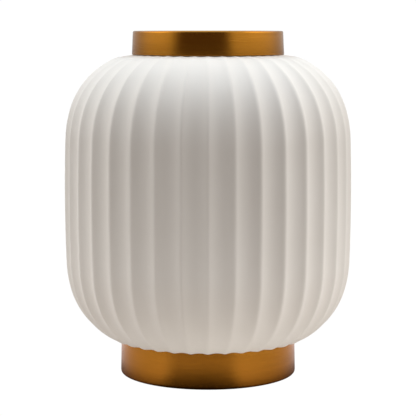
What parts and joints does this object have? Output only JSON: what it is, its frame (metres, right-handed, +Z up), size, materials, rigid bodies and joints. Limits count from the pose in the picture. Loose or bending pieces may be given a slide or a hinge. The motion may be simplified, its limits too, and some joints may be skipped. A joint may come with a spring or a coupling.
{
  "type": "fluted porcelain vase",
  "caption": "Fluted lantern-shaped porcelain vase with a lift-off brass collar, a brass foot ring and a bolted base.",
  "frame": {"origin": "middle of the underside, on the surface the vase stands on", "axes": "+Z up along the vase's axis; a rib faces -Y, the front"},
  "size_m": [0.24, 0.24, 0.287],
  "materials": {
    "porcelain": "matt white bisque porcelain, glazed inside",
    "brass": "satin, brushed round the band",
    "soft_rubber": "matt black soft rubber",
    "zinc_steel": "dull zinc plating",
    "felt": "dense wool felt"
  },
  "bodies": {
    "vase": {"porcelain_body": "porcelain", "collar_seat_ring": "soft_rubber", "foot_ring": "brass", "foot_gasket": "soft_rubber", "base_plate": "zinc_steel", "base_felt": "felt", "clamp_bolt": "zinc_steel", "bolt_washer": "zinc_steel", "nut_seal": "soft_rubber", "nut_washer": "zinc_steel", "lock_washer": "zinc_steel", "clamp_nut": "zinc_steel"},
    "collar": {"neck_collar": "brass", "collar_liner": "soft_rubber"}
  },
  "joints": [
    {"name": "collar_lift", "type": "slide", "parent": "vase", "child": "collar", "axis": [0, 0, 1], "range_m": [0, 0.04]}
  ]
}
